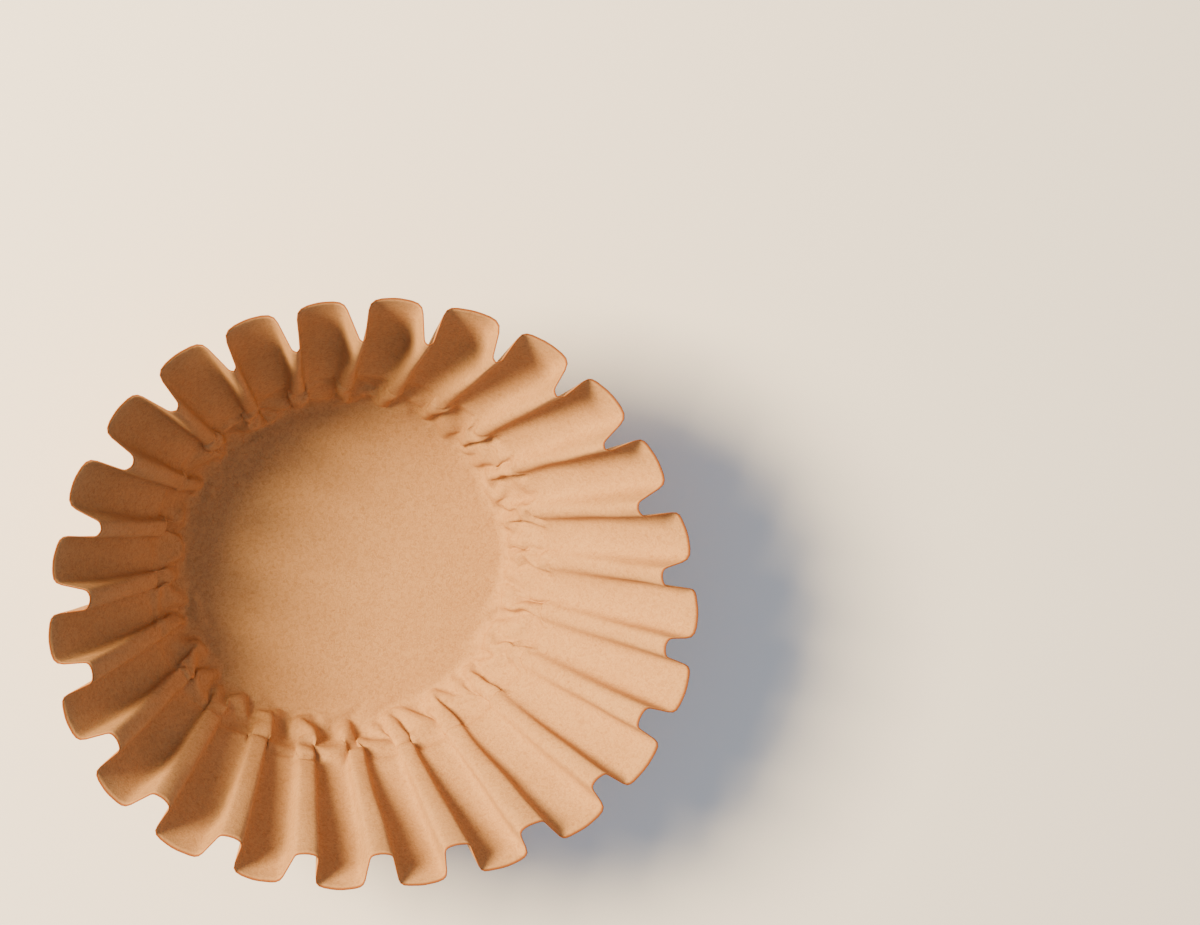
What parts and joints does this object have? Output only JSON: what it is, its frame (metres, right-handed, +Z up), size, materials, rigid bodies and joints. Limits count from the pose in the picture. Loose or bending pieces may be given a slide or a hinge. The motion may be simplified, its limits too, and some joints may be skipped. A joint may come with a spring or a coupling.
{
  "type": "paper coffee filter",
  "caption": "Basket coffee filter of unbleached brown paper: a fluted cup with a flat round base and a flared, slightly out-of-round mouth.",
  "frame": {"origin": "centre of the base's underside, on the surface that it stands on", "axes": "+Z up, from the base to the mouth; the mouth sags outwards furthest near +X, a little towards -Y"},
  "size_m": [0.1583, 0.1424, 0.0578],
  "materials": {
    "filter_paper": "matte, unbleached brown"
  },
  "bodies": {
    "root": {"filter": "filter_paper"}
  },
  "joints": []
}
